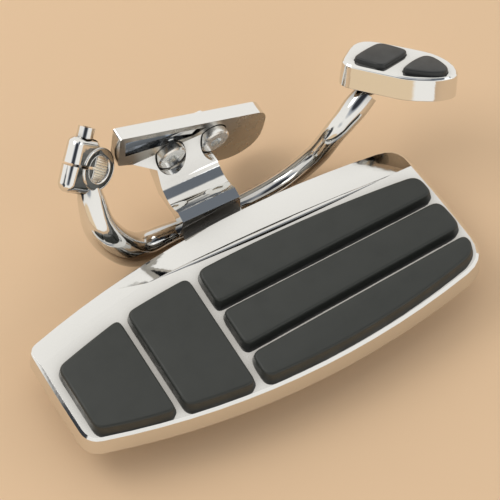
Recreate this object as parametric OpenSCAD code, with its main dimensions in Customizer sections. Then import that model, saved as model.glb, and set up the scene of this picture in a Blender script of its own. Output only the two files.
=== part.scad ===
// Right-hand rider floorboard for a cruiser motorcycle: a chromed deck with rubber pads,
// the frame bracket that it folds on, and the brake pedal that belongs with it.
// The origin is on the bracket's mounting face, midway between the two frame bolts.
// +X points to the front of the motorcycle, +Y towards its frame and +Z up.
// Inside each module, lengths are measured from the deck: X from its middle, Y from the line
// between the inner and the middle strip, and Z from its flat top.

/* [Deck] */
// Distance from the deck's middle to its rear corners
deck_rear = 161; // [150:0.5:175]
// Distance from the deck's middle to its front corners
deck_front = 170; // [165:0.5:185]
// Distance from the pad line to the rear outer corner
rear_outer = 38; // [30:0.5:42]
// Distance from the pad line to the front outer corner
front_outer = 60; // [54:0.5:66]
// Distance from the pad line to the inner corners
deck_inner = 52; // [50:0.5:58]
// How far the outer side bows out past its corners
outer_bow = 23.5; // [18:0.5:28]
// How far the inner side bows out past its corners
inner_bow = 18; // [17:0.5:19]
// Height of the deck with its skirt
deck_h = 20; // [16:0.5:26]
// Thickness of the deck's top
top_t = 5.5; // [4.5:0.1:6]
// Thickness of the skirt
skirt_t = 5; // [3.5:0.1:6]
// How far the skirt flares out towards its lower edge
skirt_flare = 2; // [0.5:0.1:2.5]
// Width of the bevel round the top edge
rim_bevel = 2.2; // [1:0.1:2.5]
// Drop of the inner margin from its crease to the inner edge
margin_drop = 2.2; // [1.6:0.1:4.2]
// Length of the leaf-shaped groove beside the pads
leaf_l = 206; // [150:1:215]
// Width of the leaf-shaped groove
leaf_w = 6; // [3:0.1:8]
// Depth of the leaf-shaped groove
leaf_depth = 1.2; // [0.5:0.1:2]
// Thickness of the stiffening ribs
rib_t = 4; // [3:0.1:6]

/* [Pads] */
// Height that the rubber pads stand above the deck
pad_h = 9.5; // [6:0.1:12]
// Rounding round the top of a pad
pad_round = 2.4; // [1:0.1:3]
// How far a pad's wall leans in up to its rounding
pad_draft = 1.2; // [0.5:0.1:2]
// Gap between neighbouring pads at the deck
pad_gap = 4.6; // [3:0.1:7]
// Bare strip between the pads and the deck's outer edge
pad_margin = 4; // [3:0.1:7]
// Front end of the rear heel pad
heel_split = -92; // [-100:0.5:-85]
// Front end of the front heel pad
heel_end = -31; // [-38:0.5:-28]
// Radius of a pad stud's shank
stud_r = 2.5; // [2:0.1:3]
// Radius of a pad stud's moulded-in head
stud_head_r = 7; // [5:0.1:8]
// Thickness of a pad stud's moulded-in head
stud_head_h = 2; // [1:0.1:3]
// Thickness of the washer under a pad nut
pad_washer_t = 1; // [0.8:0.1:1.6]
// Outer radius of the washer under a pad nut
pad_washer_r = 5; // [4.5:0.1:6]
// Height of a pad nut
pad_nut_h = 4; // [3:0.1:5]
// Radius of a pad nut across its corners
pad_nut_r = 4.6; // [4.4:0.1:5]

/* [Hinge] */
// Place of the hinge from the pad line, towards the frame
hinge_y = 62; // [60:0.5:62.5]
// Depth of the hinge below the deck's top
hinge_drop = 15; // [14.5:0.1:16]
// Radius of the hinge pin
hinge_pin_r = 3.5; // [3:0.1:4]
// Running clearance round the hinge pin
hinge_fit = 0.05; // [0.02:0.01:0.09]
// Wall of the bronze bushes
bush_wall = 1.5; // [1:0.1:1.8]
// Length of each bronze bush
bush_l = 15; // [10:0.5:20]
// Wall of the bracket's barrel and of the deck's lugs
barrel_wall = 2.5; // [2:0.1:2.6]
// Thickness of each deck lug
lug_t = 10; // [7:0.5:12]
// Thickness of the washers between the lugs and the barrel
thrust_t = 1.7; // [1:0.1:2.5]
// Clearance between the washers and the barrel
thrust_gap = 0.3; // [0.1:0.05:0.5]
// Height of the hinge pin's head
pin_head_h = 3; // [2:0.1:4]
// Radius of the hinge pin's head
pin_head_r = 6; // [5:0.1:6.5]
// Thickness of the retaining clip
clip_t = 1.2; // [1:0.1:1.6]
// Radius of the rubber stops under the deck
stop_r = 6; // [4:0.5:6.5]
// Gap between the rubber stops and the deck
stop_gap = 0.3; // [0.2:0.05:0.6]

/* [Bracket] */
// Width of the bracket's arm along the motorcycle
arm_w = 50; // [46:0.5:54]
// Middle of the bracket's arm, from the deck's middle
arm_x = 13; // [10:0.5:16]
// Distance from the pad line to the mounting face
face_y = 137; // [134:0.5:142]
// Thickness of the mounting plate
plate_t = 11; // [10:0.5:14]
// Distance from the pad line to the flange's outer face
flange_y = 77.5; // [77.2:0.1:78.5]
// Thickness of the flange that drops to the hinge
flange_t = 8; // [6:0.1:8.4]
// Height of the shelf's outer edge above the deck
shelf_z = 7; // [4:0.5:9]
// Height of the ridge above the shelf
ridge_h = 3; // [2:0.5:5]
// Distance from the pad line to the ridge
ridge_y = 111; // [108:0.5:114]
// Slope of the face between the ridge and the plate
web_slope = 55; // [50:0.5:60]
// Forward pitch of the shelf
web_pitch = 8; // [6:0.5:10]
// Depth of the hollow along the shelf
shelf_dip = 4; // [2:0.1:5]
// Distance between the two frame bolts along X
bolt_dx = 37.5; // [36:0.5:39]
// Distance between the two frame bolts along Z
bolt_dz = 9; // [8:0.5:11]
// Radius of a frame bolt's shank
bolt_r = 5; // [4:0.1:5.2]
// Clearance round a frame bolt
bolt_clear = 0.4; // [0.2:0.05:0.8]
// Length of frame bolt beyond the mounting face
bolt_reach = 10; // [6:0.5:12]
// Radius of a frame bolt's thread
bolt_thread_r = 4.8; // [4:0.1:4.9]
// Length of shank between the mounting face and the thread
bolt_neck = 0.5; // [0.3:0.1:2]
// Radius of a frame bolt's head
bolt_head_r = 12; // [10:0.1:12.4]
// Height of a frame bolt's head
bolt_head_h = 9.5; // [5:0.1:11]
// Radius of the counterbore round a frame bolt's head
counterbore_r = 12.9; // [12.7:0.1:14.5]
// Thickness of a frame bolt's washer
bolt_washer_t = 1.8; // [1:0.1:2.5]

/* [Brake pedal] */
// Radius of the splined bore
clamp_bore_r = 10; // [8:0.1:10.5]
// Width of the clamp along its bore
clamp_w = 17; // [15:0.5:20]
// Wall of the clamp round its bore
clamp_wall = 5.5; // [4.5:0.1:6]
// Distance from the bore to the end of the ears
ear_l = 27; // [24:0.5:30]
// Height of both ears together
ear_h = 42; // [34:0.5:44]
// Width of the slit between the ears
slit_w = 2; // [1:0.1:3]
// Distance from the bore to the pinch bolt
pinch_x = 14.8; // [14.6:0.1:18]
// Radius of the pinch bolt's shank
pinch_r = 4; // [3:0.1:4]
// Number of spline grooves in the bore
spline_count = 30; // [18:2:36]
// Depth of a spline groove
spline_depth = 0.5; // [0.3:0.05:0.8]
// Radius of the arm at its bend
bend_r = 13; // [11:0.1:13.4]
// Radius of the arm's rod
rod_r = 9.2; // [8:0.1:9.4]
// Height of the pedal's cover
cover_h = 19.5; // [16:0.5:22]
// Thickness of the cover's top
cover_top_t = 4.5; // [4:0.1:6]
// How far the cover's wall flares out towards its open side
cover_draft = 0.6; // [0.3:0.1:1]
// Width of the bevel round the cover's top
cover_bevel = 1.6; // [1:0.1:2]
// Height that the pedal's pads stand above its cover
pedal_pad_h = 3.5; // [2:0.1:5]
// Rounding round the top of a pedal pad
pedal_pad_round = 1.5; // [0.8:0.1:1.8]
// How far a pedal pad's wall leans in up to its rounding
pedal_pad_lean = 0.5; // [0.3:0.1:0.8]
// Depth of the seats that hold the pedal's pads
pedal_seat = 1.2; // [0.6:0.1:1.3]
// Radius of the boss at the arm's end
boss_r = 12; // [11:0.1:13]
// Radius of a cover screw's shank
screw_r = 2.5; // [2:0.1:3]
// Radius of a cover screw's head
screw_head_r = 4.4; // [4:0.1:4.8]

/* [Hidden] */
$fn = 64;

// How far a cutter runs past what it cuts
cut = 1;
// Points along each side and round each corner of an outline
side_n = 14;
corner_n = 5;
// Thickness of the slices that a hull is drawn over
skin = 0.01;

function side_point(a, b, bow, t) =
    let (d = b - a, n = [d.y, -d.x] / norm(d))
    a + d * t + n * 4 * bow * t * (1 - t);
function curve_point(a, c, b, t) = a * (1 - t) * (1 - t) + c * 2 * t * (1 - t) + b * t * t;
// Corners are [x, y, rounding, bow of the side that follows], anticlockwise
function outline(corners) =
    let (count = len(corners))
    [for (i = [0:count - 1])
        let (c = corners[i], before = corners[(i + count - 1) % count], next = corners[(i + 1) % count],
            p = [c.x, c.y], q = [before.x, before.y], r = [next.x, next.y],
            into = c[2] / norm(p - q), out = c[2] / norm(r - p), stop = next[2] / norm(r - p),
            a = side_point(q, p, before[3], 1 - into), b = side_point(p, r, c[3], out))
        each concat([for (k = [0:corner_n - 1]) curve_point(a, p, b, k / corner_n)],
            [for (k = [0:side_n - 1]) side_point(p, r, c[3], out + (1 - out - stop) * k / side_n)])];
function inset(points, d) =
    let (count = len(points))
    [for (i = [0:count - 1])
        let (v = points[(i + 1) % count] - points[(i + count - 1) % count])
        points[i] + [-v.y, v.x] / norm(v) * d];

// The deck's outline and its sides
deck_corners = [[-deck_rear, -rear_outer, 11, outer_bow], [deck_front + 1.5, -front_outer, 20, 1.5],
    [deck_front - 7, deck_inner + 2, 16, inner_bow], [-deck_rear, deck_inner - 2, 7, 0.5]];
deck_line = outline(deck_corners);
function outer_edge(x) =
    let (t = (x + deck_rear) / (deck_front + deck_rear))
    -rear_outer - (front_outer - rear_outer) * t - 4 * outer_bow * t * (1 - t);

// The pads' outlines, from the same edges and gaps
strip_start = heel_end + pad_gap + 1;
strip_end = deck_front - 7;
inner_line = deck_inner - 14;
middle_line = -37.5;
half_gap = pad_gap / 2;
heel_rear_line = outline([
    [-deck_rear + 8, outer_edge(-deck_rear + 8) + pad_margin, 8, 1.5],
    [heel_split, outer_edge(heel_split) + pad_margin, 8, 0],
    [heel_split, inner_line - 3, 8, 0.5],
    [-deck_rear + 8, inner_line - 15, 8, 0]]);
heel_front_line = outline([
    [heel_split + pad_gap, outer_edge(heel_split + pad_gap) + pad_margin, 8, 0.8],
    [heel_end, outer_edge(heel_end) + pad_margin, 8, 0],
    [heel_end, inner_line, 8, 0.5],
    [heel_split + pad_gap, inner_line - 2, 8, 0]]);
strip_inner_line = outline([
    [strip_start, 3 + half_gap, 7, 0],
    [strip_end, -1 + half_gap, 7, 0.5],
    [strip_end - 2, inner_line - 15, 9, 4],
    [strip_start, inner_line + 1, 9, 0]]);
strip_middle_line = outline([
    [strip_start, middle_line + half_gap, 8, 0],
    [strip_end + 3, middle_line + 2 + half_gap, 8, 1],
    [strip_end, -1 - half_gap, 8, 0],
    [strip_start, 3 - half_gap, 7, 0]]);
strip_outer_line = outline([
    [strip_start, outer_edge(strip_start) + pad_margin, 9, 7.5],
    [strip_end, -front_outer + 3, 10, 1],
    [strip_end + 3, middle_line + 2 - half_gap, 8, 0],
    [strip_start, middle_line - half_gap, 9, 0]]);

// Studs of each pad
stud_spots = [[-138, -6], [-106, -30], [-106, 16], [-60, -48], [-60, 18],
    [0, 19], [68, 17], [136, 11], [0, -17], [72, -18], [144, -19], [0, -53], [72, -54], [144, -48]];
stud_reach = top_t + pad_washer_t + pad_nut_h + 1;

// The crease between the pads and the inner margin, and where the margin ends
crease_rear = [-deck_rear, inner_line - 5];
crease_peak = [-59, inner_line + 14];
crease_front = [deck_front - 26, inner_line - 2];
leaf_start = crease_peak;

// The hinge
bush_r = hinge_pin_r + hinge_fit + bush_wall;
barrel_r = bush_r + barrel_wall;
hinge_z = -hinge_drop;
arm_rear = arm_x - arm_w / 2;
arm_front = arm_x + arm_w / 2;
lug_gap = thrust_t + thrust_gap;
pin_rear = arm_rear - lug_gap - lug_t;
pin_front = arm_front + lug_gap + lug_t;
notch_clear = 2;
pin_end = pin_front + clip_t + 2;
notch_rear = pin_rear - pin_head_h - notch_clear;
notch_front = pin_end + notch_clear;
under_top = -top_t;
foot_z = hinge_z - barrel_r;

// Rubber stops and the tongue that carries them
stop_y = hinge_y - 12;
stop_dx = 9;
stop_h = 3.4;
tongue_z = under_top - stop_gap - stop_h;
tongue_t = 7;
stem_r = 2.5;

// The mounting plate, the frame bolts and the origin
plate_y = face_y - plate_t;
bolt_rear = [4.2, 27.9];
bolt_front = bolt_rear + [bolt_dx, -bolt_dz];
bolt_mid = (bolt_rear + bolt_front) / 2;
bolt_seat_y = face_y - 6.4;
slope_top_y = plate_y + 5;
hollow_y = slope_top_y + 0.8;
// How far the arm's end stands in from the faces of the flange
lap = 0.5;
ridge_z = shelf_z + ridge_h;
slope_top_z = ridge_z + (slope_top_y - ridge_y) * tan(web_slope);
// How far the plate's swell runs behind the arm
swell_l = 40;

// The pedal's clamp: its bore's front centre and how it is turned
clamp_at = [-54, 126, 56];
clamp_turn = [-49.3, -46.7, 173.5];
clamp_r = clamp_bore_r + clamp_wall;
pinch_head_r = 6.5;
pinch_head_h = 8;
pinch_tail = ear_h / 2 - 3;

// The pedal's cover: the centre of its top and how it is turned
cover_at = [185.4, 88.6, 52.8];
cover_turn = [-30.1, -3.2, -45];
cover_line = outline([[-44.5, -14.5, 11, 0], [9, -18, 9, 0], [33, -10.5, 8, 0],
    [45, 1, 7, 2], [29, 27, 17, 1], [-41.5, 29, 19, 0]]);
// The hollow under the cover's top
hollow_line = outline([[-41, -11, 8, 0], [8.5, -14.3, 6, 0], [31, -7.3, 4, 0],
    [40.5, 2, 3, 1], [27.3, 23.4, 13, 0.5], [-38, 25.3, 15, 0]]);
pad_inner_line = outline([[-36, -7.5, 5, 0], [-11, -12.5, 6, 0], [3, 18.5, 6, 1], [-22, 22.6, 5, 1]]);
pad_outer_line = outline([[2.5, -11.5, 4, 0.5], [29, -8, 6, 1.5], [37.5, 1.5, 5, 2.5], [16, 18.5, 7, 2]]);
boss_spot = [-24, 2];
// The cover's screws, under its inner pad
screw_grip = 8;
screw_sink = 1.2;
screw_spots = [boss_spot + [2, -6], boss_spot + [5, 7]];
boss_h = cover_h - cover_top_t + rod_r;
boss_foot_r = 9;

// A point given in a turned part's own axes, in the deck's axes
function turned(v, turn) =
    let (a = turn.x, b = turn.y, c = turn.z,
        p = [v.x, v.y * cos(a) - v.z * sin(a), v.y * sin(a) + v.z * cos(a)],
        q = [p.x * cos(b) + p.z * sin(b), p.y, p.z * cos(b) - p.x * sin(b)])
    [q.x * cos(c) - q.y * sin(c), q.x * sin(c) + q.y * cos(c), q.z];
function clamp_point(x, y, z, r) = [each clamp_at + turned([x, y, z], clamp_turn), r];
function cover_point(x, y, z, r) = [each cover_at + turned([x, y, z], cover_turn), r];
// The arm's middle line, [x, y, z, radius], from the clamp through the bend to the cover
neck_z = -cover_h - rod_r - 1;
arm_route = [
    clamp_point(0, clamp_bore_r + 1, -clamp_w / 2, clamp_w / 2 - 0.6),
    clamp_point(-7, 24, -clamp_w / 2 + 1, bend_r - 2.5), clamp_point(-22, 43, -6.5, bend_r - 0.6),
    clamp_point(-45, 54.5, -5.5, bend_r + 0.4),
    [-44, 91.6, -26, bend_r + 0.6], [-19, 91.3, -31, bend_r - 2],
    [10, 91, -35.5, rod_r], [52, 89.4, -39.4, rod_r], [84, 88.6, -35, rod_r], [111, 87.6, -18, rod_r],
    [126, 86.6, 4, rod_r], [137, 88, 13, rod_r + 0.4], [148, 90.5, 20, rod_r + 1.2],
    cover_point(-23, 0, neck_z, rod_r + 0.2)];
route_steps = 4;
ring_n = 16;

function spline_at(a, b, c, d, t) =
    0.5 * (2 * b + (c - a) * t + (2 * a - 5 * b + 4 * c - d) * t * t
        + (3 * b - a - 3 * c + d) * t * t * t);
function smooth(route) =
    let (last = len(route) - 1)
    concat([for (i = [0:last - 1], k = [0:route_steps - 1])
        spline_at(route[max(i - 1, 0)], route[i], route[i + 1], route[min(i + 2, last)],
            k / route_steps)], [route[last]]);
function unit(v) = v / norm(v);
// Rings round the arm: a slightly flattened circle across the route
function arm_rings(path) =
    let (last = len(path) - 1)
    [for (i = [0:last])
        let (ahead = path[min(i + 1, last)], behind = path[max(i - 1, 0)],
            along = unit([ahead.x - behind.x, ahead.y - behind.y, ahead.z - behind.z]),
            side = unit(cross(along, [0, 1, 0])), over = cross(side, along))
        [for (k = [0:ring_n - 1])
            let (a = 360 * k / ring_n)
            [path[i].x, path[i].y, path[i].z] + path[i][3] * (cos(a) * side + 0.94 * sin(a) * over)]];

module from_mount() {
    translate([-bolt_mid.x, -face_y, -bolt_mid.y]) children();
}
module at_clamp() {
    from_mount() translate(clamp_at) rotate(clamp_turn) children();
}
module at_cover() {
    from_mount() translate(cover_at) rotate(cover_turn) children();
}
// A round bar along X, from one place to another
module bar_x(from, to, r) {
    translate([from, 0, 0]) rotate([0, 90, 0]) cylinder(h = to - from, r = r);
}
// A round bar along Y, from one place to another
module bar_y(from, to, r) {
    translate([0, from, 0]) rotate([-90, 0, 0]) cylinder(h = to - from, r = r);
}
module slice(points, z) {
    translate([0, 0, z]) linear_extrude(skin) polygon(points);
}
module at_hinge() {
    translate([0, hinge_y, hinge_z]) children();
}
module at_studs() {
    for (spot = stud_spots) translate([spot.x, spot.y, 0]) children();
}

module deck_body() {
    hull() {
        slice(inset(deck_line, -skirt_flare), -deck_h);
        slice(deck_line, -rim_bevel);
        slice(inset(deck_line, rim_bevel), -skin);
    }
}
// Wedge that slopes the margin down from a crease to the inner edge
module margin_cut(a, b) {
    slope = atan(margin_drop / (deck_inner + inner_bow - crease_peak.y));
    translate([a.x, a.y, 0]) rotate([0, 0, atan2(b.y - a.y, b.x - a.x)]) rotate([-slope, 0, 0])
        translate([-2 * deck_inner, 0, 0]) cube([2 * deck_front, deck_inner, pad_h]);
}
module leaf_cut() {
    turn = atan2(crease_front.y - leaf_start.y, crease_front.x - leaf_start.x);
    steps = 24;
    translate([leaf_start.x, leaf_start.y, -leaf_depth]) rotate([0, 0, turn]) linear_extrude(pad_h)
        polygon(concat(
            [for (i = [0:steps]) [leaf_l * i / steps, -leaf_w / 2 * sin(180 * i / steps)]],
            [for (i = [1:steps - 1]) [leaf_l * (1 - i / steps), leaf_w / 2 * sin(180 * i / steps)]]));
}
module deck() {
    rib_h = deck_h - top_t - 6;
    color("silver") from_mount() difference() {
        union() {
            difference() {
                deck_body();
                difference() {
                    translate([0, 0, -deck_h - cut]) linear_extrude(deck_h + cut - top_t)
                        polygon(inset(deck_line, skirt_t));
                    for (x = [-122, -75, 104])
                        translate([x, -deck_front, under_top - rib_h])
                            cube([rib_t, 2 * deck_front, deck_h]);
                    translate([-2 * deck_rear, middle_line - rib_t / 2, under_top - rib_h])
                        cube([4 * deck_rear, rib_t, deck_h]);
                }
                translate([notch_rear, hinge_y - barrel_r - notch_clear, -deck_h - cut])
                    cube([notch_front - notch_rear, deck_inner,
                        deck_h + cut + hinge_z + barrel_r + stop_gap]);
            }
            for (x = [pin_rear, pin_front - lug_t]) intersection() {
                at_hinge() union() {
                    bar_x(x, x + lug_t, barrel_r);
                    translate([x, -barrel_r, 0]) cube([lug_t, 2 * barrel_r, hinge_drop - top_t / 2]);
                }
                translate([0, 0, -2 * deck_h]) linear_extrude(2 * deck_h) polygon(deck_line);
            }
        }
        at_hinge() bar_x(pin_rear - cut, pin_front + cut, hinge_pin_r);
        at_studs() translate([0, 0, -deck_h]) cylinder(h = deck_h + cut, r = stud_r);
        margin_cut(crease_rear, crease_peak);
        margin_cut(crease_peak, crease_front);
        leaf_cut();
    }
}

module pad(line) {
    color([0.27, 0.28, 0.27]) from_mount() difference() {
        hull() {
            slice(line, 0);
            slice(inset(line, pad_draft), pad_h - pad_round);
            slice(inset(line, pad_draft + pad_round / 3), pad_h - pad_round / 3);
            slice(inset(line, pad_draft + pad_round), pad_h - skin);
        }
        at_studs() {
            translate([0, 0, -cut]) cylinder(h = stud_head_h + cut, r = stud_head_r);
        }
    }
}
module heel_pad_rear() { pad(heel_rear_line); }
module heel_pad_front() { pad(heel_front_line); }
module strip_pad_inner() { pad(strip_inner_line); }
module strip_pad_middle() { pad(strip_middle_line); }
module strip_pad_outer() { pad(strip_outer_line); }

module pad_studs() {
    color("gray") from_mount() at_studs() {
        cylinder(h = stud_head_h, r = stud_head_r);
        translate([0, 0, -stud_reach]) cylinder(h = stud_reach + stud_head_h, r = stud_r);
    }
}
module pad_washers() {
    color("gray") from_mount() at_studs() translate([0, 0, under_top - pad_washer_t]) difference() {
        cylinder(h = pad_washer_t, r = pad_washer_r);
        translate([0, 0, -cut]) cylinder(h = pad_washer_t + 2 * cut, r = stud_r);
    }
}
module pad_nuts() {
    nut_z = under_top - pad_washer_t - pad_nut_h;
    color("gray") from_mount() at_studs() translate([0, 0, nut_z]) difference() {
        cylinder(h = pad_nut_h, r = pad_nut_r, $fn = 6);
        translate([0, 0, -cut]) cylinder(h = pad_nut_h + 2 * cut, r = stud_r);
    }
}

module hinge_pin() {
    groove_r = hinge_pin_r - 0.8;
    color("dimgray") from_mount() at_hinge() difference() {
        union() {
            bar_x(pin_rear - pin_head_h, pin_rear, pin_head_r);
            bar_x(pin_rear, pin_end, hinge_pin_r);
        }
        difference() {
            bar_x(pin_front, pin_front + clip_t, hinge_pin_r + cut);
            bar_x(pin_front - cut, pin_front + clip_t + cut, groove_r);
        }
    }
}
module hinge_clip() {
    groove_r = hinge_pin_r - 0.8;
    color("gray") from_mount() at_hinge() difference() {
        bar_x(pin_front, pin_front + clip_t, pin_head_r);
        bar_x(pin_front - cut, pin_front + clip_t + cut, groove_r);
        translate([pin_front - cut, -groove_r, -pin_head_r - cut])
            cube([clip_t + 2 * cut, 2 * groove_r, pin_head_r + cut]);
    }
}
module hinge_washers() {
    color("gray") from_mount() at_hinge() for (x = [arm_rear - lug_gap, arm_front + thrust_gap])
        difference() {
            bar_x(x, x + thrust_t, barrel_r - 0.5);
            bar_x(x - cut, x + thrust_t + cut, hinge_pin_r);
        }
}
module hinge_bushes() {
    color("peru") from_mount() at_hinge() for (x = [arm_rear, arm_front - bush_l])
        difference() {
            bar_x(x, x + bush_l, bush_r);
            bar_x(x - cut, x + bush_l + cut, hinge_pin_r + hinge_fit);
        }
}
module at_stops() {
    for (x = [arm_x - stop_dx, arm_x + stop_dx]) translate([x, stop_y, tongue_z]) children();
}
module stop_bumpers() {
    color([0.12, 0.12, 0.12]) from_mount() at_stops() {
        cylinder(h = stop_h, r = stop_r);
        translate([0, 0, -tongue_t - 1.5]) cylinder(h = tongue_t + 1.5 + stop_h, r = stem_r);
        translate([0, 0, -tongue_t - 1.5]) cylinder(h = 1.5, r = stem_r + 1);
    }
}

// The mounting plate seen from the side, [x, z], anticlockwise
module plate_shape() {
    polygon(outline([[-39, 47, 3, 0], [-12, 26, 6, -1], [50, -30, 12, 1], [80, -31, 14, 2.5],
        [90, 12, 9, 0], [-35, 83.5, 3, 0]]));
}
// Cross-section of the arm, [y, z], from the slope over the shelf to the flange
function arm_section() =
    let (dip_a = ridge_y - 1.5, dip_b = flange_y + 8, back_y = flange_y + flange_t, steps = 10)
    concat([[face_y, slope_top_z - 12], [slope_top_y, slope_top_z], [ridge_y, ridge_z]],
        [for (i = [0:steps]) let (t = i / steps)
            [dip_a + (dip_b - dip_a) * t,
                ridge_z - 1.5 + (shelf_z + 1 - ridge_z + 1.5) * t - shelf_dip * 4 * t * (1 - t)]],
        [[flange_y, shelf_z - 1], [flange_y + lap, hinge_z], [back_y - lap, hinge_z],
            [back_y - lap, -4], [back_y + 5, -5 + shelf_z - shelf_dip], [ridge_y + 1, ridge_z - 13],
            [face_y, slope_top_z - 24]]);
module pitched(x) {
    translate([arm_x, 0, shelf_z]) rotate([0, web_pitch, 0]) translate([x - arm_x, 0, -shelf_z])
        children();
}
module arm_bar() {
    pitched(arm_rear) rotate([90, 0, 90]) linear_extrude(arm_w) polygon(arm_section());
}
// Sloped swell of the plate behind the arm, out to the rear end
module plate_swell() {
    intersection() {
        pitched(arm_rear - swell_l) rotate([90, 0, 90]) linear_extrude(arm_w + swell_l)
            polygon([[face_y, slope_top_z], [slope_top_y, slope_top_z], [ridge_y, ridge_z],
                [face_y, ridge_z]]);
        translate([0, face_y, 0]) rotate([90, 0, 0]) linear_extrude(face_y - ridge_y) plate_shape();
    }
}
// Hollow in the plate's outer face, between its top edge and the swell
module plate_hollow() {
    translate([0, hollow_y, 0]) rotate([90, 0, 0]) linear_extrude(plate_t)
        polygon([[-32, 55], [26, 33], [38, 35.5], [-31, 75]]);
}
module bracket() {
    color("silver") from_mount() difference() {
        union() {
            difference() {
                translate([0, face_y, 0]) rotate([90, 0, 0]) linear_extrude(plate_t) plate_shape();
                plate_hollow();
            }
            plate_swell();
            arm_bar();
            translate([arm_rear, flange_y, foot_z]) cube([arm_w, flange_t, -foot_z]);
            translate([arm_rear, hinge_y, foot_z])
                cube([arm_w, flange_y + flange_t - hinge_y, barrel_r]);
            at_hinge() bar_x(arm_rear, arm_front, barrel_r);
            translate([arm_x - stop_dx - stop_r - 1, stop_y - stop_r - 1, tongue_z - tongue_t])
                cube([2 * (stop_dx + stop_r + 1), hinge_y - stop_y + stop_r - 3, tongue_t]);
        }
        at_hinge() bar_x(arm_rear - cut, arm_front + cut, bush_r);
        at_stops() translate([0, 0, -tongue_t - cut]) cylinder(h = tongue_t + 2 * cut, r = stem_r);
        for (spot = [bolt_rear, bolt_front]) translate([spot.x, 0, spot.y]) {
            bar_y(plate_y - 22, bolt_seat_y, counterbore_r);
            bar_y(plate_y - 22, face_y + cut, bolt_r + bolt_clear);
        }
    }
}

module mount_bolt(spot) {
    head_y = bolt_seat_y - bolt_washer_t - bolt_head_h;
    socket_r = 5;
    socket_depth = 3.5;
    color("lightgray") from_mount() translate([spot.x, 0, spot.y]) difference() {
        union() {
            bar_y(head_y + 1, bolt_seat_y - bolt_washer_t, bolt_head_r);
            translate([0, head_y, 0]) rotate([-90, 0, 0])
                cylinder(h = 1, r1 = bolt_head_r - 1.5, r2 = bolt_head_r);
            bar_y(bolt_seat_y - bolt_washer_t, face_y + bolt_neck, bolt_r);
            bar_y(face_y, face_y + bolt_reach, bolt_thread_r);
        }
        translate([0, head_y - cut, 0]) rotate([-90, 0, 0])
            cylinder(h = cut + socket_depth, r = socket_r, $fn = 6);
    }
}
module mount_bolt_rear() { mount_bolt(bolt_rear); }
module mount_bolt_front() { mount_bolt(bolt_front); }
module mount_washers() {
    color("gray") from_mount() for (spot = [bolt_rear, bolt_front]) translate([spot.x, 0, spot.y])
        difference() {
            bar_y(bolt_seat_y - bolt_washer_t, bolt_seat_y, bolt_head_r + 0.5);
            bar_y(bolt_seat_y - bolt_washer_t - cut, bolt_seat_y + cut, bolt_r);
        }
}

module arm_skin() {
    rings = arm_rings(smooth(arm_route));
    last = len(rings) - 1;
    polyhedron(points = [for (ring = rings, p = ring) p],
        faces = concat([[for (k = [0:ring_n - 1]) ring_n - 1 - k]],
            [for (i = [0:last - 1], k = [0:ring_n - 1])
                let (a = i * ring_n + k, b = i * ring_n + (k + 1) % ring_n)
                each [[a, b, a + ring_n], [b, b + ring_n, a + ring_n]]],
            [[for (k = [0:ring_n - 1]) last * ring_n + k]]));
}
module clamp_body() {
    translate([0, 0, -clamp_w]) cylinder(h = clamp_w, r = clamp_r);
    intersection() {
        translate([0, -ear_h / 2, -clamp_w + 1]) cube([ear_l, ear_h, clamp_w - 2]);
        translate([0, 0, -clamp_w / 2]) rotate([90, 0, 0])
            cylinder(h = 2 * ear_h, r = ear_l, center = true);
    }
}
module clamp_cuts() {
    translate([0, 0, -clamp_w - 30]) cylinder(h = clamp_w + 60, r = clamp_bore_r);
    for (i = [0:spline_count - 1]) rotate([0, 0, 360 * (i + 0.5) / spline_count])
        translate([clamp_bore_r, 0, -clamp_w - 30])
            cylinder(h = clamp_w + 60, r = spline_depth, $fn = 4);
    translate([0, 0, -2]) cylinder(h = 2 + cut, r1 = clamp_bore_r, r2 = clamp_bore_r + 2 + cut);
    translate([0, -slit_w / 2, -clamp_w - cut]) cube([ear_l + cut, slit_w, clamp_w + 2 * cut]);
    translate([pinch_x, -ear_h, -clamp_w / 2]) rotate([-90, 0, 0])
        cylinder(h = ear_h + pinch_tail, r = pinch_r);
}
module brake_arm() {
    color("silver") from_mount() difference() {
        union() {
            arm_skin();
            translate(clamp_at) rotate(clamp_turn) clamp_body();
            translate(cover_at) rotate(cover_turn)
                translate([boss_spot.x, boss_spot.y, -cover_top_t - boss_h])
                    cylinder(h = boss_h, r1 = boss_foot_r, r2 = boss_r);
        }
        translate(clamp_at) rotate(clamp_turn) clamp_cuts();
        translate(cover_at) rotate(cover_turn) {
            translate([boss_spot.x, boss_spot.y, -cover_top_t]) cylinder(h = 30, r = 2 * boss_r);
            at_screws() translate([0, 0, -cover_top_t - screw_grip])
                cylinder(h = screw_grip + cut, r = screw_r);
        }
    }
}
module pinch_bolt() {
    color("lightgray") at_clamp() translate([pinch_x, 0, -clamp_w / 2]) rotate([-90, 0, 0])
        difference() {
            union() {
                translate([0, 0, -ear_h / 2 - pinch_head_h]) cylinder(h = pinch_head_h, r = pinch_head_r);
                translate([0, 0, -ear_h / 2]) cylinder(h = ear_h / 2 + pinch_tail, r = pinch_r);
            }
            translate([0, 0, -ear_h / 2 - pinch_head_h - cut])
                cylinder(h = pinch_head_h / 2 + cut, r = 3.5, $fn = 6);
        }
}

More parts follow.
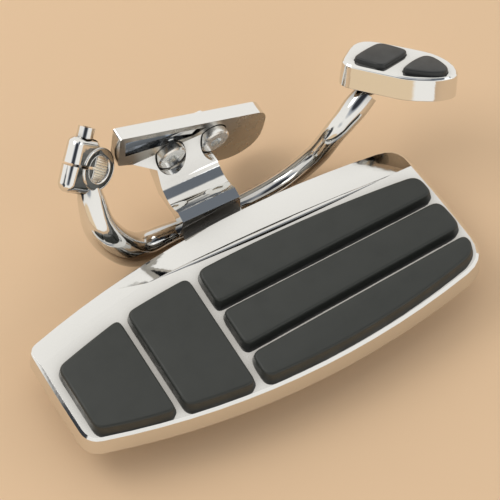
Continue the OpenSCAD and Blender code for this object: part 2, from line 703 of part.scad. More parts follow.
module at_screws() {
    for (spot = screw_spots) translate([spot.x, spot.y, 0]) children();
}
module pedal_cover() {
    color("silver") at_cover() difference() {
        hull() {
            slice(inset(cover_line, -cover_draft), -cover_h);
            slice(cover_line, -cover_bevel);
            slice(inset(cover_line, cover_bevel), -skin);
        }
        translate([0, 0, -cover_h - cut]) linear_extrude(cover_h + cut - cover_top_t)
            polygon(hollow_line);
        for (line = [pad_inner_line, pad_outer_line])
            translate([0, 0, -pedal_seat]) linear_extrude(pad_h) polygon(line);
        at_screws() {
            translate([0, 0, -cover_h]) cylinder(h = 2 * cover_h, r = screw_r);
            translate([0, 0, screw_sink - cover_top_t]) cylinder(h = cover_h, r = screw_head_r);
        }
    }
}
module cover_screws() {
    color("gray") at_cover() at_screws() {
        translate([0, 0, screw_sink - cover_top_t])
            cylinder(h = cover_top_t - screw_sink - pedal_seat, r = screw_head_r);
        translate([0, 0, -cover_top_t - screw_grip])
            cylinder(h = cover_top_t + screw_grip - pedal_seat, r = screw_r);
    }
}
module pedal_pad(line) {
    color([0.2, 0.2, 0.2]) at_cover() hull() {
        slice(line, -pedal_seat);
        slice(inset(line, pedal_pad_lean), pedal_pad_h - pedal_pad_round);
        slice(inset(line, pedal_pad_lean + pedal_pad_round), pedal_pad_h - skin);
    }
}
module pedal_pad_inner() { pedal_pad(pad_inner_line); }
module pedal_pad_outer() { pedal_pad(pad_outer_line); }

deck();
heel_pad_rear();
heel_pad_front();
strip_pad_inner();
strip_pad_middle();
strip_pad_outer();
pad_studs();
pad_washers();
pad_nuts();
hinge_pin();
hinge_clip();
hinge_washers();
hinge_bushes();
stop_bumpers();
bracket();
mount_bolt_rear();
mount_bolt_front();
mount_washers();
brake_arm();
pinch_bolt();
pedal_cover();
cover_screws();
pedal_pad_inner();
pedal_pad_outer();
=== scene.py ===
# %% [markdown]
# A chromed rider floorboard for a cruiser motorcycle, with its frame bracket and brake pedal.
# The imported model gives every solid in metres, in one frame: the origin is on the bracket's
# mounting face, +X points to the front, +Y to the motorcycle's frame and +Z up.
# This lesson dresses those solids: rubber, chrome and steel, and the rounded forms that
# casting and moulding leave, which plain solids don't have.

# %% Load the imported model
import math

import bmesh
import bpy
from mathutils import Euler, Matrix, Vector


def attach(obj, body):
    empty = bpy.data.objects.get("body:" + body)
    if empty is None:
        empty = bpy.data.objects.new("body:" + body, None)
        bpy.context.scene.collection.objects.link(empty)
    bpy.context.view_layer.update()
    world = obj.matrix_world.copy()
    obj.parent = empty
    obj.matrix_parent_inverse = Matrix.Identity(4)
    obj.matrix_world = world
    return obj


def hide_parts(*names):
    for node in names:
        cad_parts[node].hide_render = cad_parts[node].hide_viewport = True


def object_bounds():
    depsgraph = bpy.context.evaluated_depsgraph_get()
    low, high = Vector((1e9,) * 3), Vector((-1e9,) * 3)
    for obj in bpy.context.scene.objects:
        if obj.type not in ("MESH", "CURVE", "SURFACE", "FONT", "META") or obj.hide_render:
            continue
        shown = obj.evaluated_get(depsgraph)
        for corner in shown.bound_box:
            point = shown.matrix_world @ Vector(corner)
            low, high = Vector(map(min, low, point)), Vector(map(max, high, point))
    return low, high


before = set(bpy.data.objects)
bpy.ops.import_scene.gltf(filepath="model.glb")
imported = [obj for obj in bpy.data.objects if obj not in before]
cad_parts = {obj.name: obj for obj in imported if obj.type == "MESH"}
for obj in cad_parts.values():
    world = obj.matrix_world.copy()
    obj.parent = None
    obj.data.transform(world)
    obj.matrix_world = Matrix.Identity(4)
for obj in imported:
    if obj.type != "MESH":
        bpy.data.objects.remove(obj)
cad_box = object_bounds()

# %% [markdown]
# Lengths are easiest to think about from the deck, in millimetres: X from its middle, Y from
# the line between its inner and middle strips, and Z from its flat top. One helper turns such
# a place into the frame's metres, so every later cell can use the deck's own measures.

# %% Measures from the deck
MM = 0.001
ORIGIN = Vector((22.95, 137.0, 23.4))


def place(x, y, z):
    return (Vector((x, y, z)) - ORIGIN) * MM


print("deck middle is at", tuple(round(v, 4) for v in place(0, 0, 0)))

# %% [markdown]
# The camera looks down on the board from its outer side, 63 degrees above the horizon and a
# little from the rear. A long lens from far away keeps parallel edges almost parallel.

# %% Camera
LOOK_AT = place(21.6, 36, 0)
CAMERA_AZIMUTH = math.radians(-31)
CAMERA_ELEVATION = math.radians(63)
CAMERA_DISTANCE = 2.5
VIEW_WIDTH = 0.3743
SENSOR_WIDTH = 36.0

sight = Vector((math.sin(CAMERA_AZIMUTH) * math.cos(CAMERA_ELEVATION),
                -math.cos(CAMERA_AZIMUTH) * math.cos(CAMERA_ELEVATION),
                math.sin(CAMERA_ELEVATION)))
camera_data = bpy.data.cameras.new("camera")
camera_data.sensor_width = SENSOR_WIDTH
camera_data.lens = SENSOR_WIDTH * CAMERA_DISTANCE / VIEW_WIDTH
camera = bpy.data.objects.new("camera", camera_data)
camera.location = LOOK_AT + sight * CAMERA_DISTANCE
camera.rotation_euler = sight.to_track_quat("Z", "Y").to_euler()
bpy.context.scene.collection.objects.link(camera)
bpy.context.scene.camera = camera
print("lens:", round(camera_data.lens, 1), "mm")

# %% [markdown]
# Chrome shows little but its surroundings, so the light is part of its finish. The floor is a
# pale sand sheet, which the upright faces mirror. It ends behind the object and rises behind
# the camera. The rest is a soft white dome with three dark cards: one behind the camera, one
# low at the rear and one high above the front. They draw the dark lines along round bars and
# hollows.

# %% Floor
FLOOR_COLOUR = (0.86, 0.61, 0.39, 1.0)
FLOOR_REACH = 4.0
FLOOR_BEHIND = 0.45
FLOOR_CLEARANCE = 0.0005
FLOOR_ROUGHNESS = 0.9
FLOOR_SHEEN = 0.1
floor_mesh = bpy.data.meshes.new("floor")
floor_shape = bmesh.new()
bmesh.ops.create_grid(floor_shape, x_segments=1, y_segments=1, size=FLOOR_REACH)
floor_shape.to_mesh(floor_mesh)
floor_shape.free()
floor = bpy.data.objects.new("floor", floor_mesh)
floor.rotation_euler.z = CAMERA_AZIMUTH
towards_camera = Vector((math.sin(CAMERA_AZIMUTH), -math.cos(CAMERA_AZIMUTH), 0))
floor.location = towards_camera * (FLOOR_REACH - FLOOR_BEHIND)
floor.location.z = cad_box[0][2] - FLOOR_CLEARANCE
bpy.context.scene.collection.objects.link(floor)

floor_paint = bpy.data.materials.new("sand_floor")
floor_paint.use_nodes = True
floor_shader = floor_paint.node_tree.nodes["Principled BSDF"]
floor_shader.inputs["Base Color"].default_value = FLOOR_COLOUR
floor_shader.inputs["Roughness"].default_value = FLOOR_ROUGHNESS
floor_shader.inputs["Specular IOR Level"].default_value = FLOOR_SHEEN
floor_mesh.materials.append(floor_paint)
print("floor height:", round(floor.location.z, 4))

# %% Sky dome
SKY_WHITE = (1.0, 0.985, 0.95, 1.0)
SKY_GREY = (0.42, 0.45, 0.5, 1.0)
SKY_DARK = (0.045, 0.05, 0.06, 1.0)
SKY_STRENGTH = 0.98
SKY_SAND = (0.86, 0.67, 0.45, 1.0)
SKY_SLATE = (0.17, 0.19, 0.22, 1.0)
# Each patch has its direction, its colour, and the cosines of the angles from its direction
# at which it starts and is full
RAISED_SHEET = ((-0.74, -0.6, -0.25), SKY_SAND, 0.86, 0.9)
GREY_RIM = (sight, SKY_GREY, 0.82, 0.9)
CAMERA_CARD = (sight, SKY_DARK, 0.9, 0.96)
LOW_CARD = ((-0.93, 0.1, 0.22), SKY_DARK, 0.93, 0.97)
HIGH_CARD = ((0.5, -0.25, 0.83), SKY_SLATE, 0.92, 0.965)
world = bpy.data.worlds.new("studio")
bpy.context.scene.world = world
world.use_nodes = True
sky = world.node_tree
direction = sky.nodes.new("ShaderNodeTexCoord")


def add_patch(under, towards, colour, start, full):
    nearness = sky.nodes.new("ShaderNodeVectorMath")
    nearness.operation = "DOT_PRODUCT"
    nearness.inputs[1].default_value = Vector(towards).normalized()
    share = sky.nodes.new("ShaderNodeMapRange")
    share.interpolation_type = "SMOOTHSTEP"
    share.inputs["From Min"].default_value = start
    share.inputs["From Max"].default_value = full
    blend = sky.nodes.new("ShaderNodeMix")
    blend.data_type = "RGBA"
    blend.inputs[7].default_value = colour
    sky.links.new(direction.outputs["Generated"], nearness.inputs[0])
    sky.links.new(nearness.outputs["Value"], share.inputs["Value"])
    sky.links.new(share.outputs["Result"], blend.inputs[0])
    if under:
        sky.links.new(under, blend.inputs[6])
    else:
        blend.inputs[6].default_value = SKY_WHITE
    return blend.outputs[2]


dome_colour = None
for patch in (RAISED_SHEET, GREY_RIM, CAMERA_CARD, LOW_CARD, HIGH_CARD):
    dome_colour = add_patch(dome_colour, *patch)
sky.links.new(dome_colour, sky.nodes["Background"].inputs["Color"])
sky.nodes["Background"].inputs["Strength"].default_value = SKY_STRENGTH
bpy.context.scene.view_settings.view_transform = "Standard"
print("sky strength:", SKY_STRENGTH)


# %% Lamps
def soft_lamp(name, position, size, power, colour):
    data = bpy.data.lights.new(name, "AREA")
    data.shape = "RECTANGLE"
    data.size = size[0]
    data.size_y = size[1]
    data.energy = power
    data.color = colour
    lamp = bpy.data.objects.new(name, data)
    lamp.location = position
    towards = Vector(position) - LOOK_AT
    lamp.rotation_euler = towards.to_track_quat("Z", "Y").to_euler()
    bpy.context.scene.collection.objects.link(lamp)


soft_lamp("key", position=(-0.9, 0.9, 1.7), size=(1.1, 0.8), power=9.0, colour=(1.0, 0.98, 0.95))
soft_lamp("fill", position=(1.3, -0.9, 1.2), size=(0.9, 0.6), power=2.0, colour=(0.95, 0.97, 1.0))

# %% [markdown]
# Polished metal and moulded rubber are never quite even. Handling leaves faint smears, and
# polishing leaves a slight waviness. Both are made once, as node groups that put out a
# roughness and a height, and each finish places them with its own scale and strength.


# %% Shared effects
def new_group(name, inputs, outputs):
    group = bpy.data.node_groups.new(name, "ShaderNodeTree")
    for socket in inputs:
        made = group.interface.new_socket(socket[0], in_out="INPUT", socket_type="NodeSocketFloat")
        made.default_value = socket[1]
    for socket in outputs:
        group.interface.new_socket(socket, in_out="OUTPUT", socket_type="NodeSocketFloat")
    group.nodes.new("NodeGroupInput").name = "in"
    group.nodes.new("NodeGroupOutput").name = "out"
    return group


def uneven_surface():
    group = new_group("uneven_surface", [("Scale", 40.0), ("Low", 0.05), ("High", 0.15)],
                      ["Roughness", "Height"])
    inside = group.nodes["in"]
    outside = group.nodes["out"]
    where = group.nodes.new("ShaderNodeTexCoord")
    smear = group.nodes.new("ShaderNodeTexNoise")
    smear.inputs["Detail"].default_value = 5.0
    smear.inputs["Roughness"].default_value = 0.6
    spread = group.nodes.new("ShaderNodeMapRange")
    spread.inputs["From Min"].default_value = 0.35
    spread.inputs["From Max"].default_value = 0.75
    group.links.new(where.outputs["Object"], smear.inputs["Vector"])
    group.links.new(inside.outputs["Scale"], smear.inputs["Scale"])
    group.links.new(smear.outputs["Fac"], spread.inputs["Value"])
    group.links.new(inside.outputs["Low"], spread.inputs["To Min"])
    group.links.new(inside.outputs["High"], spread.inputs["To Max"])
    group.links.new(spread.outputs["Result"], outside.inputs["Roughness"])
    group.links.new(smear.outputs["Fac"], outside.inputs["Height"])
    return group


UNEVEN = uneven_surface()
print("effects:", [g.name for g in bpy.data.node_groups])

# %% [markdown]
# Every finish here is one Principled shader. Chrome is a bare metal with a very low
# roughness, bright steel is duller, and rubber isn't a metal at all: it is dark and rough.
# Chrome also has painted shade in its corners: its colour is darkened wherever an occlusion node finds
# other parts near.


# %% Finishes
def finish(name, colour, metallic, smear_scale, low, high, bump_scale, bump_depth):
    made = bpy.data.materials.new(name)
    made.use_nodes = True
    tree = made.node_tree
    shader = tree.nodes["Principled BSDF"]
    shader.inputs["Base Color"].default_value = (*colour, 1.0)
    shader.inputs["Metallic"].default_value = metallic
    smears = tree.nodes.new("ShaderNodeGroup")
    smears.node_tree = UNEVEN
    smears.inputs["Scale"].default_value = smear_scale
    smears.inputs["Low"].default_value = low
    smears.inputs["High"].default_value = high
    tree.links.new(smears.outputs["Roughness"], shader.inputs["Roughness"])
    waves = tree.nodes.new("ShaderNodeGroup")
    waves.node_tree = UNEVEN
    waves.inputs["Scale"].default_value = bump_scale
    bump = tree.nodes.new("ShaderNodeBump")
    bump.inputs["Distance"].default_value = bump_depth
    tree.links.new(waves.outputs["Height"], bump.inputs["Height"])
    tree.links.new(bump.outputs["Normal"], shader.inputs["Normal"])
    return made


# Painted shade: the finish's colour is mixed towards a dark one where ambient occlusion finds other
# surfaces near
def paint_crevice_shade(made, reach, colour):
    tree = made.node_tree
    shader = tree.nodes["Principled BSDF"]
    open_share = tree.nodes.new("ShaderNodeAmbientOcclusion")
    open_share.inputs["Distance"].default_value = reach
    open_share.samples = 6
    blend = tree.nodes.new("ShaderNodeMix")
    blend.data_type = "RGBA"
    blend.inputs[6].default_value = (*colour, 1.0)
    blend.inputs[7].default_value = shader.inputs["Base Color"].default_value
    tree.links.new(open_share.outputs["AO"], blend.inputs[0])
    tree.links.new(blend.outputs[2], shader.inputs["Base Color"])


# Each row has the colour, 1 for a metal, the size of the smears, the lowest and highest
# roughness, and the size and depth of the waviness
FINISHES = {
    "chrome": ((0.81, 0.805, 0.785), 1.0, 30.0, 0.03, 0.09, 12.0, 0.0004),
    "arm_chrome_painted_shade": ((0.81, 0.805, 0.785), 1.0, 30.0, 0.03, 0.09, 12.0, 0.0004),
    # Painted shade: a dark blue-grey chrome for the bracket's hollow floor
    "hollow_painted_shade": ((0.24, 0.28, 0.34), 1.0, 30.0, 0.06, 0.14, 12.0, 0.0004),
    # Rougher metal for the bracket's upright faces; its darker brownish colour is painted shade
    "rough_face_painted_shade": ((0.5, 0.47, 0.42), 1.0, 40.0, 0.22, 0.4, 300.0, 0.00005),
    "bolt_steel": ((0.86, 0.86, 0.84), 1.0, 160.0, 0.2, 0.32, 420.0, 0.00003),
    "bore_steel": ((0.95, 0.91, 0.82), 1.0, 160.0, 0.3, 0.45, 420.0, 0.00003),
    "dull_steel": ((0.42, 0.42, 0.41), 1.0, 90.0, 0.3, 0.5, 500.0, 0.00006),
    "bronze": ((0.5, 0.3, 0.13), 1.0, 90.0, 0.28, 0.45, 400.0, 0.00005),
    "pad_rubber": ((0.03, 0.033, 0.029), 0.0, 60.0, 0.42, 0.62, 900.0, 0.00003),
    "pedal_rubber": ((0.024, 0.025, 0.025), 0.0, 80.0, 0.3, 0.5, 900.0, 0.00003),
    "stop_rubber": ((0.015, 0.015, 0.015), 0.0, 80.0, 0.6, 0.8, 900.0, 0.00004)}
made_finishes = {name: finish(name, *values) for name, values in FINISHES.items()}
chrome = made_finishes["chrome"]
arm_chrome_painted_shade = made_finishes["arm_chrome_painted_shade"]
# Painted shade in the corners of both chromes; on the arm it is darker and reaches further, a painted
# shadow for the shaded floor it mirrors
paint_crevice_shade(chrome, reach=0.03, colour=(0.12, 0.1, 0.08))
paint_crevice_shade(arm_chrome_painted_shade, reach=0.045, colour=(0.03, 0.024, 0.018))
print("finishes:", [m.name for m in bpy.data.materials])

# %% Finishes of the solids that stay
FINISH_NODES = {
    "chrome": ["deck", "bracket", "brake_arm", "pinch_bolt", "pedal_cover"],
    "bolt_steel": ["mount_bolt_rear", "mount_bolt_front", "mount_washers"],
    "dull_steel": ["pad_studs", "pad_washers", "pad_nuts", "hinge_pin", "hinge_clip",
                   "hinge_washers", "cover_screws"],
    "bronze": ["hinge_bushes"],
    "stop_rubber": ["stop_bumpers"],
    "pedal_rubber": ["pedal_pad_inner", "pedal_pad_outer"],
    "pad_rubber": ["heel_pad_rear", "heel_pad_front", "strip_pad_inner", "strip_pad_middle",
                   "strip_pad_outer"]}
for finish_name, node_names in FINISH_NODES.items():
    for node_name in node_names:
        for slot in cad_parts[node_name].material_slots:
            slot.material = made_finishes[finish_name]
print("solids with a finish:", sum(len(names) for names in FINISH_NODES.values()))

# %% [markdown]
# Cast and plated parts have no sharp edge anywhere: the plating thickens on each edge, and
# the light catches it as a thin bright line. A copy of the solid has its loose triangles
# merged and its flat faces joined, and a Bevel modifier then rounds every edge.


# %% Rounded copies
MERGE_DISTANCE = 0.00002
FLAT_ANGLE = 0.6
SLIVER_LENGTH = 0.00001


def new_piece(name, shape, material, body, nodes):
    mesh = bpy.data.meshes.new(name)
    shape.to_mesh(mesh)
    shape.free()
    mesh.materials.append(material)
    piece = bpy.data.objects.new(name, mesh)
    bpy.context.scene.collection.objects.link(piece)
    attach(piece, body)
    if nodes:
        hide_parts(*nodes)
    return piece


def merged_solid(node):
    shape = bmesh.new()
    shape.from_mesh(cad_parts[node].data)
    bmesh.ops.remove_doubles(shape, verts=shape.verts, dist=MERGE_DISTANCE)
    bmesh.ops.dissolve_limit(shape, angle_limit=math.radians(FLAT_ANGLE), verts=shape.verts,
                             edges=shape.edges)
    bmesh.ops.dissolve_degenerate(shape, edges=shape.edges, dist=SLIVER_LENGTH)
    return shape


def soften(piece, width, segments, angle):
    smooth_by_angle(piece, angle)
    rounding = piece.modifiers.new("rounding", "BEVEL")
    rounding.width = width
    rounding.segments = segments
    rounding.limit_method = "ANGLE"
    rounding.angle_limit = math.radians(angle)
    rounding.harden_normals = True
    rounding.miter_outer = "MITER_ARC"
    return piece


def smooth_by_angle(piece, angle):
    for face in piece.data.polygons:
        face.use_smooth = True
    piece.data.set_sharp_from_angle(angle=math.radians(angle))
    return piece


deck = soften(new_piece("deck_plating", merged_solid("deck"), chrome, "board",
                        ["deck"]), width=0.0007, segments=3, angle=20)
bracket = soften(new_piece("bracket_plating", merged_solid("bracket"), chrome, "bracket",
                           ["bracket"]), width=0.0012, segments=4, angle=24)
cover = soften(new_piece("cover_plating", merged_solid("pedal_cover"), chrome, "pedal",
                         ["pedal_cover"]), width=0.0009, segments=3, angle=24)
# The bracket's upright outer faces are rougher than the rest, and their darker colour is painted
# shade for the shaded floor they mirror; the floor of the hollow behind them is painted shade too
SHADED_FACE_NORMAL_Y = -0.985
HOLLOW_FLOOR_Y = -0.008
SHADED_FACE_SLOT = 1
HOLLOW_SHADE_SLOT = 2
bracket.data.materials.append(made_finishes["rough_face_painted_shade"])
bracket.data.materials.append(made_finishes["hollow_painted_shade"])
for face in bracket.data.polygons:
    if face.normal.y < SHADED_FACE_NORMAL_Y:
        face.material_index = HOLLOW_SHADE_SLOT if face.center.y > HOLLOW_FLOOR_Y else SHADED_FACE_SLOT
print("rounded copies:", deck.name, bracket.name, cover.name)

# %% [markdown]
# The rest is lofted: a row of closed outlines, each a circle whose points are moved to their
# places, is joined ring to ring and closed at both ends. One helper makes the moulded pads,
# the cast brake arm and its boss. Outlines have rounded corners and gently bowed sides, as
# the deck has, and an inset keeps a rounding the same width all the way round.


# %% Lofting
SIDE_POINTS = 14
CORNER_POINTS = 5
PAD_SMOOTH_ANGLE = 50
ROUND_SMOOTH_ANGLE = 60
CLAMP_SMOOTH_ANGLE = 40


def side_point(start, end, bow, share):
    along = end - start
    outwards = Vector((along.y, -along.x)).normalized()
    return start + along * share + outwards * 4 * bow * share * (1 - share)


def outline(corners):
    points = []
    count = len(corners)
    for index, (x, y, rounding, bow) in enumerate(corners):
        corner = Vector((x, y))
        before = Vector(corners[index - 1][:2])
        after = Vector(corners[(index + 1) % count][:2])
        length = (after - corner).length
        leave = rounding / length
        stop = corners[(index + 1) % count][2] / length
        arrive = 1 - rounding / (corner - before).length
        first = side_point(before, corner, corners[index - 1][3], arrive)
        last = side_point(corner, after, bow, leave)
        for step in range(CORNER_POINTS):
            share = step / CORNER_POINTS
            bend = corner * 2 * share * (1 - share)
            points.append(first * (1 - share) ** 2 + bend + last * share ** 2)
        for step in range(SIDE_POINTS):
            share = leave + (1 - leave - stop) * step / SIDE_POINTS
            points.append(side_point(corner, after, bow, share))
    return points


def inset(points, width):
    moved = []
    for index, point in enumerate(points):
        along = points[(index + 1) % len(points)] - points[index - 1]
        moved.append(point + Vector((-along.y, along.x)).normalized() * width)
    return moved


def ring_edges(shape, points):
    made = bmesh.ops.create_circle(shape, cap_ends=False, segments=len(points), radius=1.0)
    for vertex, point in zip(made["verts"], points):
        vertex.co = point
    return list({edge for vertex in made["verts"] for edge in vertex.link_edges})


def lofted(rings):
    shape = bmesh.new()
    loops = [ring_edges(shape, ring) for ring in rings]
    for near, far in zip(loops, loops[1:]):
        bmesh.ops.bridge_loops(shape, edges=near + far)
    for end in (loops[0], loops[-1]):
        bmesh.ops.contextual_create(shape, geom=end)
    bmesh.ops.recalc_face_normals(shape, faces=shape.faces)
    return shape


rounded_square = outline([(0, 0, 1, 0), (5, 0, 1, 0), (5, 5, 1, 0), (0, 5, 1, 0)])
print("a rounded square has", len(rounded_square), "points")

# %% [markdown]
# Each deck pad is moulded rubber: a flat tread, a wall that leans in a little so that it
# leaves its mould, and a round edge between the two. The rings climb the wall and then turn
# over the edge in equal steps of angle.

# %% Deck pads
DECK_REAR = 161
DECK_FRONT = 171.5
REAR_OUTER = 38
FRONT_OUTER = 60
OUTER_BOW = 23.5
PAD_HEIGHT = 9.5
PAD_ROUND = 2.6
PAD_LEAN = 1.2
PAD_GAP = 4.6
PAD_MARGIN = 4
HEEL_SPLIT = -92
HEEL_END = -31
STRIP_START = HEEL_END + PAD_GAP + 1
STRIP_END = 163
INNER_LINE = 38
MIDDLE_LINE = -37.5
HALF_GAP = PAD_GAP / 2
EDGE_STEPS = 6


def outer_edge(x):
    share = (x + DECK_REAR) / (DECK_FRONT + DECK_REAR)
    return -REAR_OUTER - (FRONT_OUTER - REAR_OUTER) * share - 4 * OUTER_BOW * share * (1 - share)


def pad_edge(x):
    return outer_edge(x) + PAD_MARGIN


PAD_CORNERS = {
    "heel_pad_rear": [
        (8 - DECK_REAR, pad_edge(8 - DECK_REAR), 8, 1.5), (HEEL_SPLIT, pad_edge(HEEL_SPLIT), 8, 0),
        (HEEL_SPLIT, INNER_LINE - 3, 8, 0.5), (8 - DECK_REAR, INNER_LINE - 15, 8, 0)],
    "heel_pad_front": [
        (HEEL_SPLIT + PAD_GAP, pad_edge(HEEL_SPLIT + PAD_GAP), 8, 0.8),
        (HEEL_END, pad_edge(HEEL_END), 8, 0),
        (HEEL_END, INNER_LINE, 8, 0.5), (HEEL_SPLIT + PAD_GAP, INNER_LINE - 2, 8, 0)],
    "strip_pad_inner": [
        (STRIP_START, 3 + HALF_GAP, 7, 0), (STRIP_END, HALF_GAP - 1, 7, 0.5),
        (STRIP_END - 2, INNER_LINE - 15, 9, 4), (STRIP_START, INNER_LINE + 1, 9, 0)],
    "strip_pad_middle": [
        (STRIP_START, MIDDLE_LINE + HALF_GAP, 8, 0), (STRIP_END + 3, MIDDLE_LINE + 2 + HALF_GAP, 8, 1),
        (STRIP_END, -1 - HALF_GAP, 8, 0), (STRIP_START, 3 - HALF_GAP, 7, 0)],
    "strip_pad_outer": [
        (STRIP_START, pad_edge(STRIP_START), 9, 7.5), (STRIP_END, 3 - FRONT_OUTER, 10, 1),
        (STRIP_END + 3, MIDDLE_LINE + 2 - HALF_GAP, 8, 0), (STRIP_START, MIDDLE_LINE - HALF_GAP, 9, 0)]}


def pad_rings(line, height, lean, rounding, foot, where):
    rings = [[where(p.x, p.y, foot) for p in line]]
    for step in range(EDGE_STEPS + 1):
        turn = math.pi / 2 * step / EDGE_STEPS
        edge = inset(line, lean + rounding * (1 - math.cos(turn)))
        rings.append([where(p.x, p.y, height + rounding * (math.sin(turn) - 1)) for p in edge])
    return rings


for pad_name, corners in PAD_CORNERS.items():
    rings = pad_rings(outline(corners), PAD_HEIGHT, PAD_LEAN, PAD_ROUND, 0, place)
    pad = new_piece(pad_name + "_tread", lofted(rings), made_finishes["pad_rubber"],
                    "board", [pad_name])
    smooth_by_angle(pad, PAD_SMOOTH_ANGLE)
print("deck pads:", len(PAD_CORNERS))

# %% [markdown]
# The leaf beside the strips is a long raised bead in a shallow groove: a sphere drawn out to
# the groove's length shows the same thin dark line on each side of a bright one.

# %% Leaf bead
LEAF_START = Vector((-59, 52))
LEAF_FRONT = Vector((144, 36))
LEAF_HALF = 103
BEAD_HALF_WIDTH = 2.4
BEAD_HEIGHT = 2.2
BEAD_Z = -1.2
leaf_turn = math.atan2(LEAF_FRONT.y - LEAF_START.y, LEAF_FRONT.x - LEAF_START.x)
leaf_way = Vector((math.cos(leaf_turn), math.sin(leaf_turn)))
leaf_middle = LEAF_START + leaf_way * LEAF_HALF
bead_shape = bmesh.new()
bmesh.ops.create_uvsphere(bead_shape, u_segments=24, v_segments=48, radius=1.0)
bmesh.ops.rotate(bead_shape, verts=bead_shape.verts, cent=(0, 0, 0),
                 matrix=Euler((0, math.pi / 2, 0)).to_matrix())
bmesh.ops.scale(bead_shape, verts=bead_shape.verts,
                vec=(LEAF_HALF * MM, BEAD_HALF_WIDTH * MM, BEAD_HEIGHT * MM))
bmesh.ops.rotate(bead_shape, verts=bead_shape.verts, cent=(0, 0, 0),
                 matrix=Euler((0, 0, leaf_turn)).to_matrix())
bmesh.ops.translate(bead_shape, verts=bead_shape.verts,
                    vec=place(leaf_middle.x, leaf_middle.y, BEAD_Z))
bead = new_piece("leaf_bead", bead_shape, chrome, "board", [])
smooth_by_angle(bead, ROUND_SMOOTH_ANGLE)
print("leaf bead:", 2 * LEAF_HALF, "mm long")

# %% [markdown]
# The brake arm is one casting. Its rod keeps a steady thickness, and swells into the bend
# below the clamp. Rings set across a smooth path make it, each a slightly flattened circle
# with its own radius. The clamp is a split ring, spun round its axis from one rounded
# profile, with an ear on each side of the slit and a row of splines in its bore.

# %% Arm rod and bend
CLAMP_AT = Vector((-54, 126, 56))
CLAMP_TURN = Euler([math.radians(a) for a in (-49.3, -46.7, 173.5)]).to_matrix()
COVER_AT = Vector((185.4, 88.6, 52.8))
COVER_TURN = Euler([math.radians(a) for a in (-30.1, -3.2, -45)]).to_matrix()
BEND_RADIUS = 13
ROD_RADIUS = 9.2
COVER_HEIGHT = 19.5
NECK_Z = -COVER_HEIGHT - ROD_RADIUS - 1
ROUTE_STEPS = 8
RING_POINTS = 40
RING_FLATNESS = 0.94


def clamp_point(x, y, z, radius):
    return (*(CLAMP_AT + CLAMP_TURN @ Vector((x, y, z))), radius)


def cover_point(x, y, z, radius):
    return (*(COVER_AT + COVER_TURN @ Vector((x, y, z))), radius)


ARM_ROUTE = [
    clamp_point(0, 11, -8.5, 7.9),
    clamp_point(-7, 24, -7.5, BEND_RADIUS - 2.5), clamp_point(-22, 43, -6.5, BEND_RADIUS - 0.6),
    clamp_point(-45, 54.5, -5.5, BEND_RADIUS + 0.4), (-44, 91.6, -26, BEND_RADIUS + 0.6),
    (-19, 91.3, -31, BEND_RADIUS - 2), (10, 91, -35.5, ROD_RADIUS), (52, 89.4, -39.4, ROD_RADIUS),
    (84, 88.6, -35, ROD_RADIUS), (111, 87.6, -18, ROD_RADIUS), (126, 86.6, 4, ROD_RADIUS),
    (137, 88, 13, ROD_RADIUS + 0.4), (148, 90.5, 20, ROD_RADIUS + 1.2),
    cover_point(-23, 0, NECK_Z, ROD_RADIUS + 0.2)]


def spline_at(a, b, c, d, share):
    return [0.5 * (2 * q + (r - p) * share + (2 * p - 5 * q + 4 * r - s) * share ** 2
                   + (3 * q - p - 3 * r + s) * share ** 3) for p, q, r, s in zip(a, b, c, d)]


def smooth_route(route):
    last = len(route) - 1
    path = []
    for index in range(last):
        for step in range(ROUTE_STEPS):
            path.append(spline_at(route[max(index - 1, 0)], route[index], route[index + 1],
                                  route[min(index + 2, last)], step / ROUTE_STEPS))
    return path + [list(route[last])]


def arm_rings(path):
    rings = []
    last = len(path) - 1
    for index, (x, y, z, radius) in enumerate(path):
        ahead = Vector(path[min(index + 1, last)][:3])
        behind = Vector(path[max(index - 1, 0)][:3])
        along = (ahead - behind).normalized()
        side = along.cross(Vector((0, 1, 0))).normalized()
        over = side.cross(along)
        ring = []
        for step in range(RING_POINTS):
            turn = 2 * math.pi * step / RING_POINTS
            offset = side * math.cos(turn) + over * math.sin(turn) * RING_FLATNESS
            ring.append(place(*(Vector((x, y, z)) + offset * radius)))
        rings.append(ring)
    return rings


arm = new_piece("brake_arm_rod", lofted(arm_rings(smooth_route(ARM_ROUTE))), arm_chrome_painted_shade, "pedal",
                ["brake_arm"])
smooth_by_angle(arm, ROUND_SMOOTH_ANGLE)
print("arm rod rings:", (len(ARM_ROUTE) - 1) * ROUTE_STEPS + 1)

# %% Clamp
CLAMP_BORE = 10.0
CLAMP_RADIUS = 16.6
CLAMP_WIDTH = 17.0
CLAMP_ROUND = 1.6
SLIT_WIDTH = 2.0
EAR_LENGTH = 27.0
EAR_TOP = 21.0
EAR_ROUND = 6.2
EAR_LEAN = 0.3
EAR_START = 2
EAR_INSET = 1
EAR_NEAR_CORNER = 3
EAR_FAR_CORNER = 5.5
EAR_BOW = 1.2
SPLINES = 30
SPLINE_SIZE = 1.45
SPLINE_SINK = 0.1
SPIN_STEPS = 72


def from_clamp(x, y, z):
    return place(*(CLAMP_AT + CLAMP_TURN @ Vector((x, y, z))))


def from_ear(side):
    def ear_point(x, z, y):
        return from_clamp(x, side * y, z)
    return ear_point


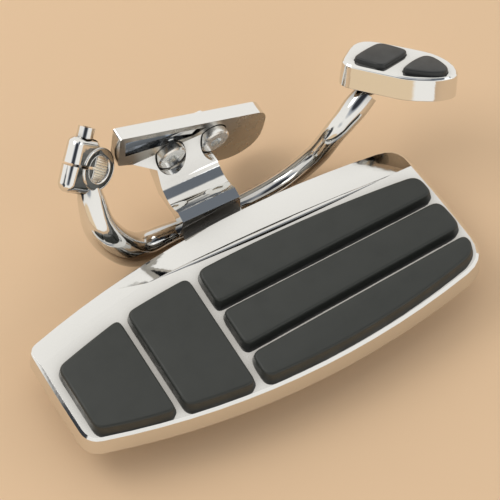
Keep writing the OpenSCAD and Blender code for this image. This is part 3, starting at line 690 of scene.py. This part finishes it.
half_slit = math.asin(SLIT_WIDTH / 2 / CLAMP_BORE)
ring_shape = bmesh.new()
ring_profile = outline([
    (CLAMP_BORE, -CLAMP_WIDTH, CLAMP_ROUND, 0), (CLAMP_RADIUS, -CLAMP_WIDTH, CLAMP_ROUND, 0),
    (CLAMP_RADIUS, 0, CLAMP_ROUND, 0), (CLAMP_BORE, 0, CLAMP_ROUND, 0)])
profile_edges = ring_edges(ring_shape, [Vector((p.x, 0, p.y)) for p in ring_profile])
profile_face = bmesh.ops.contextual_create(ring_shape, geom=profile_edges)["faces"]
bmesh.ops.rotate(ring_shape, verts=ring_shape.verts, cent=(0, 0, 0),
                 matrix=Euler((0, 0, half_slit)).to_matrix())
bmesh.ops.spin(ring_shape, geom=profile_face, axis=(0, 0, 1), cent=(0, 0, 0), dvec=(0, 0, 0),
               angle=2 * math.pi - 2 * half_slit, steps=SPIN_STEPS, use_merge=False)
for vertex in ring_shape.verts:
    vertex.co = from_clamp(*vertex.co)
bmesh.ops.recalc_face_normals(ring_shape, faces=ring_shape.faces)
clamp_ring = new_piece("clamp_ring", ring_shape, chrome, "pedal", [])
smooth_by_angle(clamp_ring, CLAMP_SMOOTH_ANGLE)

ear_line = outline([
    (EAR_START, EAR_INSET - CLAMP_WIDTH, EAR_NEAR_CORNER, 0),
    (EAR_LENGTH, EAR_INSET - CLAMP_WIDTH, EAR_FAR_CORNER, EAR_BOW),
    (EAR_LENGTH, -EAR_INSET, EAR_FAR_CORNER, 0), (EAR_START, -EAR_INSET, EAR_NEAR_CORNER, 0)])
for ear_name, side in (("clamp_ear_upper", 1), ("clamp_ear_lower", -1)):
    rings = pad_rings(ear_line, EAR_TOP, EAR_LEAN, EAR_ROUND, SLIT_WIDTH / 2, from_ear(side))
    ear = new_piece(ear_name, lofted(rings), chrome, "pedal", [])
    smooth_by_angle(ear, PAD_SMOOTH_ANGLE)

tooth_shape = bmesh.new()
tooth_size = (SPLINE_SIZE, SPLINE_SIZE, CLAMP_WIDTH - 2 * CLAMP_ROUND)
corner_inwards = Euler((0, 0, math.pi / 4)).to_matrix()
for tooth in range(SPLINES):
    turn = 2 * math.pi * (tooth + 0.5) / SPLINES
    made = bmesh.ops.create_cube(tooth_shape, size=1.0)["verts"]
    bmesh.ops.scale(tooth_shape, verts=made, vec=tooth_size)
    bmesh.ops.rotate(tooth_shape, verts=made, cent=(0, 0, 0), matrix=corner_inwards)
    bmesh.ops.translate(tooth_shape, verts=made, vec=(CLAMP_BORE + SPLINE_SINK, 0, -CLAMP_WIDTH / 2))
    bmesh.ops.rotate(tooth_shape, verts=made, cent=(0, 0, 0),
                     matrix=Euler((0, 0, turn)).to_matrix())
for vertex in tooth_shape.verts:
    vertex.co = from_clamp(*vertex.co)
new_piece("clamp_splines", tooth_shape, made_finishes["bore_steel"], "pedal", [])
print("clamp: one split ring, two ears and", SPLINES, "splines")

# %% Boss
BOSS_SPOT = Vector((-24, 2))
BOSS_TOP = -4.5
BOSS_FOOT = -28.2
BOSS_RADIUS = 12
BOSS_TAPER = 3
BOSS_EDGE = 0.8

boss_line = [BOSS_SPOT + Vector((math.cos(a), math.sin(a))) * BOSS_RADIUS
             for a in (2 * math.pi * step / RING_POINTS for step in range(RING_POINTS))]


def from_cover(x, y, z):
    return place(*(COVER_AT + COVER_TURN @ Vector((x, y, z))))


boss_rings = [[from_cover(p.x, p.y, BOSS_TOP) for p in boss_line],
              [from_cover(p.x, p.y, BOSS_FOOT + BOSS_EDGE) for p in inset(boss_line, BOSS_TAPER)],
              [from_cover(p.x, p.y, BOSS_FOOT) for p in inset(boss_line, BOSS_TAPER + BOSS_EDGE)]]
boss = new_piece("brake_arm_boss", lofted(boss_rings), chrome, "pedal", [])
smooth_by_angle(boss, ROUND_SMOOTH_ANGLE)
print("boss faces:", len(boss.data.polygons))

# %% [markdown]
# The brake pedal's head has two rubber pads of its own, a square one and a three-cornered
# one. They are lofted as the deck's pads are, in the head's own turned axes.

# %% Pedal pads
PEDAL_PADS = {
    "pedal_pad_inner": [(-36, -7.5, 5, 0), (-11, -12.5, 6, 0), (3, 18.5, 6, 1), (-22, 22.6, 5, 1)],
    "pedal_pad_outer": [
        (2.5, -11.5, 4, 0.5), (29, -8, 6, 1.5), (37.5, 1.5, 5, 2.5), (16, 18.5, 7, 2)]}
PEDAL_PAD_HEIGHT = 3.5
PEDAL_PAD_LEAN = 0.4
PEDAL_PAD_ROUND = 1.6
PEDAL_PAD_SEAT = -1.2
for pad_name, corners in PEDAL_PADS.items():
    rings = pad_rings(outline(corners), PEDAL_PAD_HEIGHT, PEDAL_PAD_LEAN, PEDAL_PAD_ROUND,
                      PEDAL_PAD_SEAT, from_cover)
    pad = new_piece(pad_name + "_tread", lofted(rings), made_finishes["pedal_rubber"],
                    "pedal", [pad_name])
    smooth_by_angle(pad, PAD_SMOOTH_ANGLE)
print("pedal pads:", len(PEDAL_PADS))
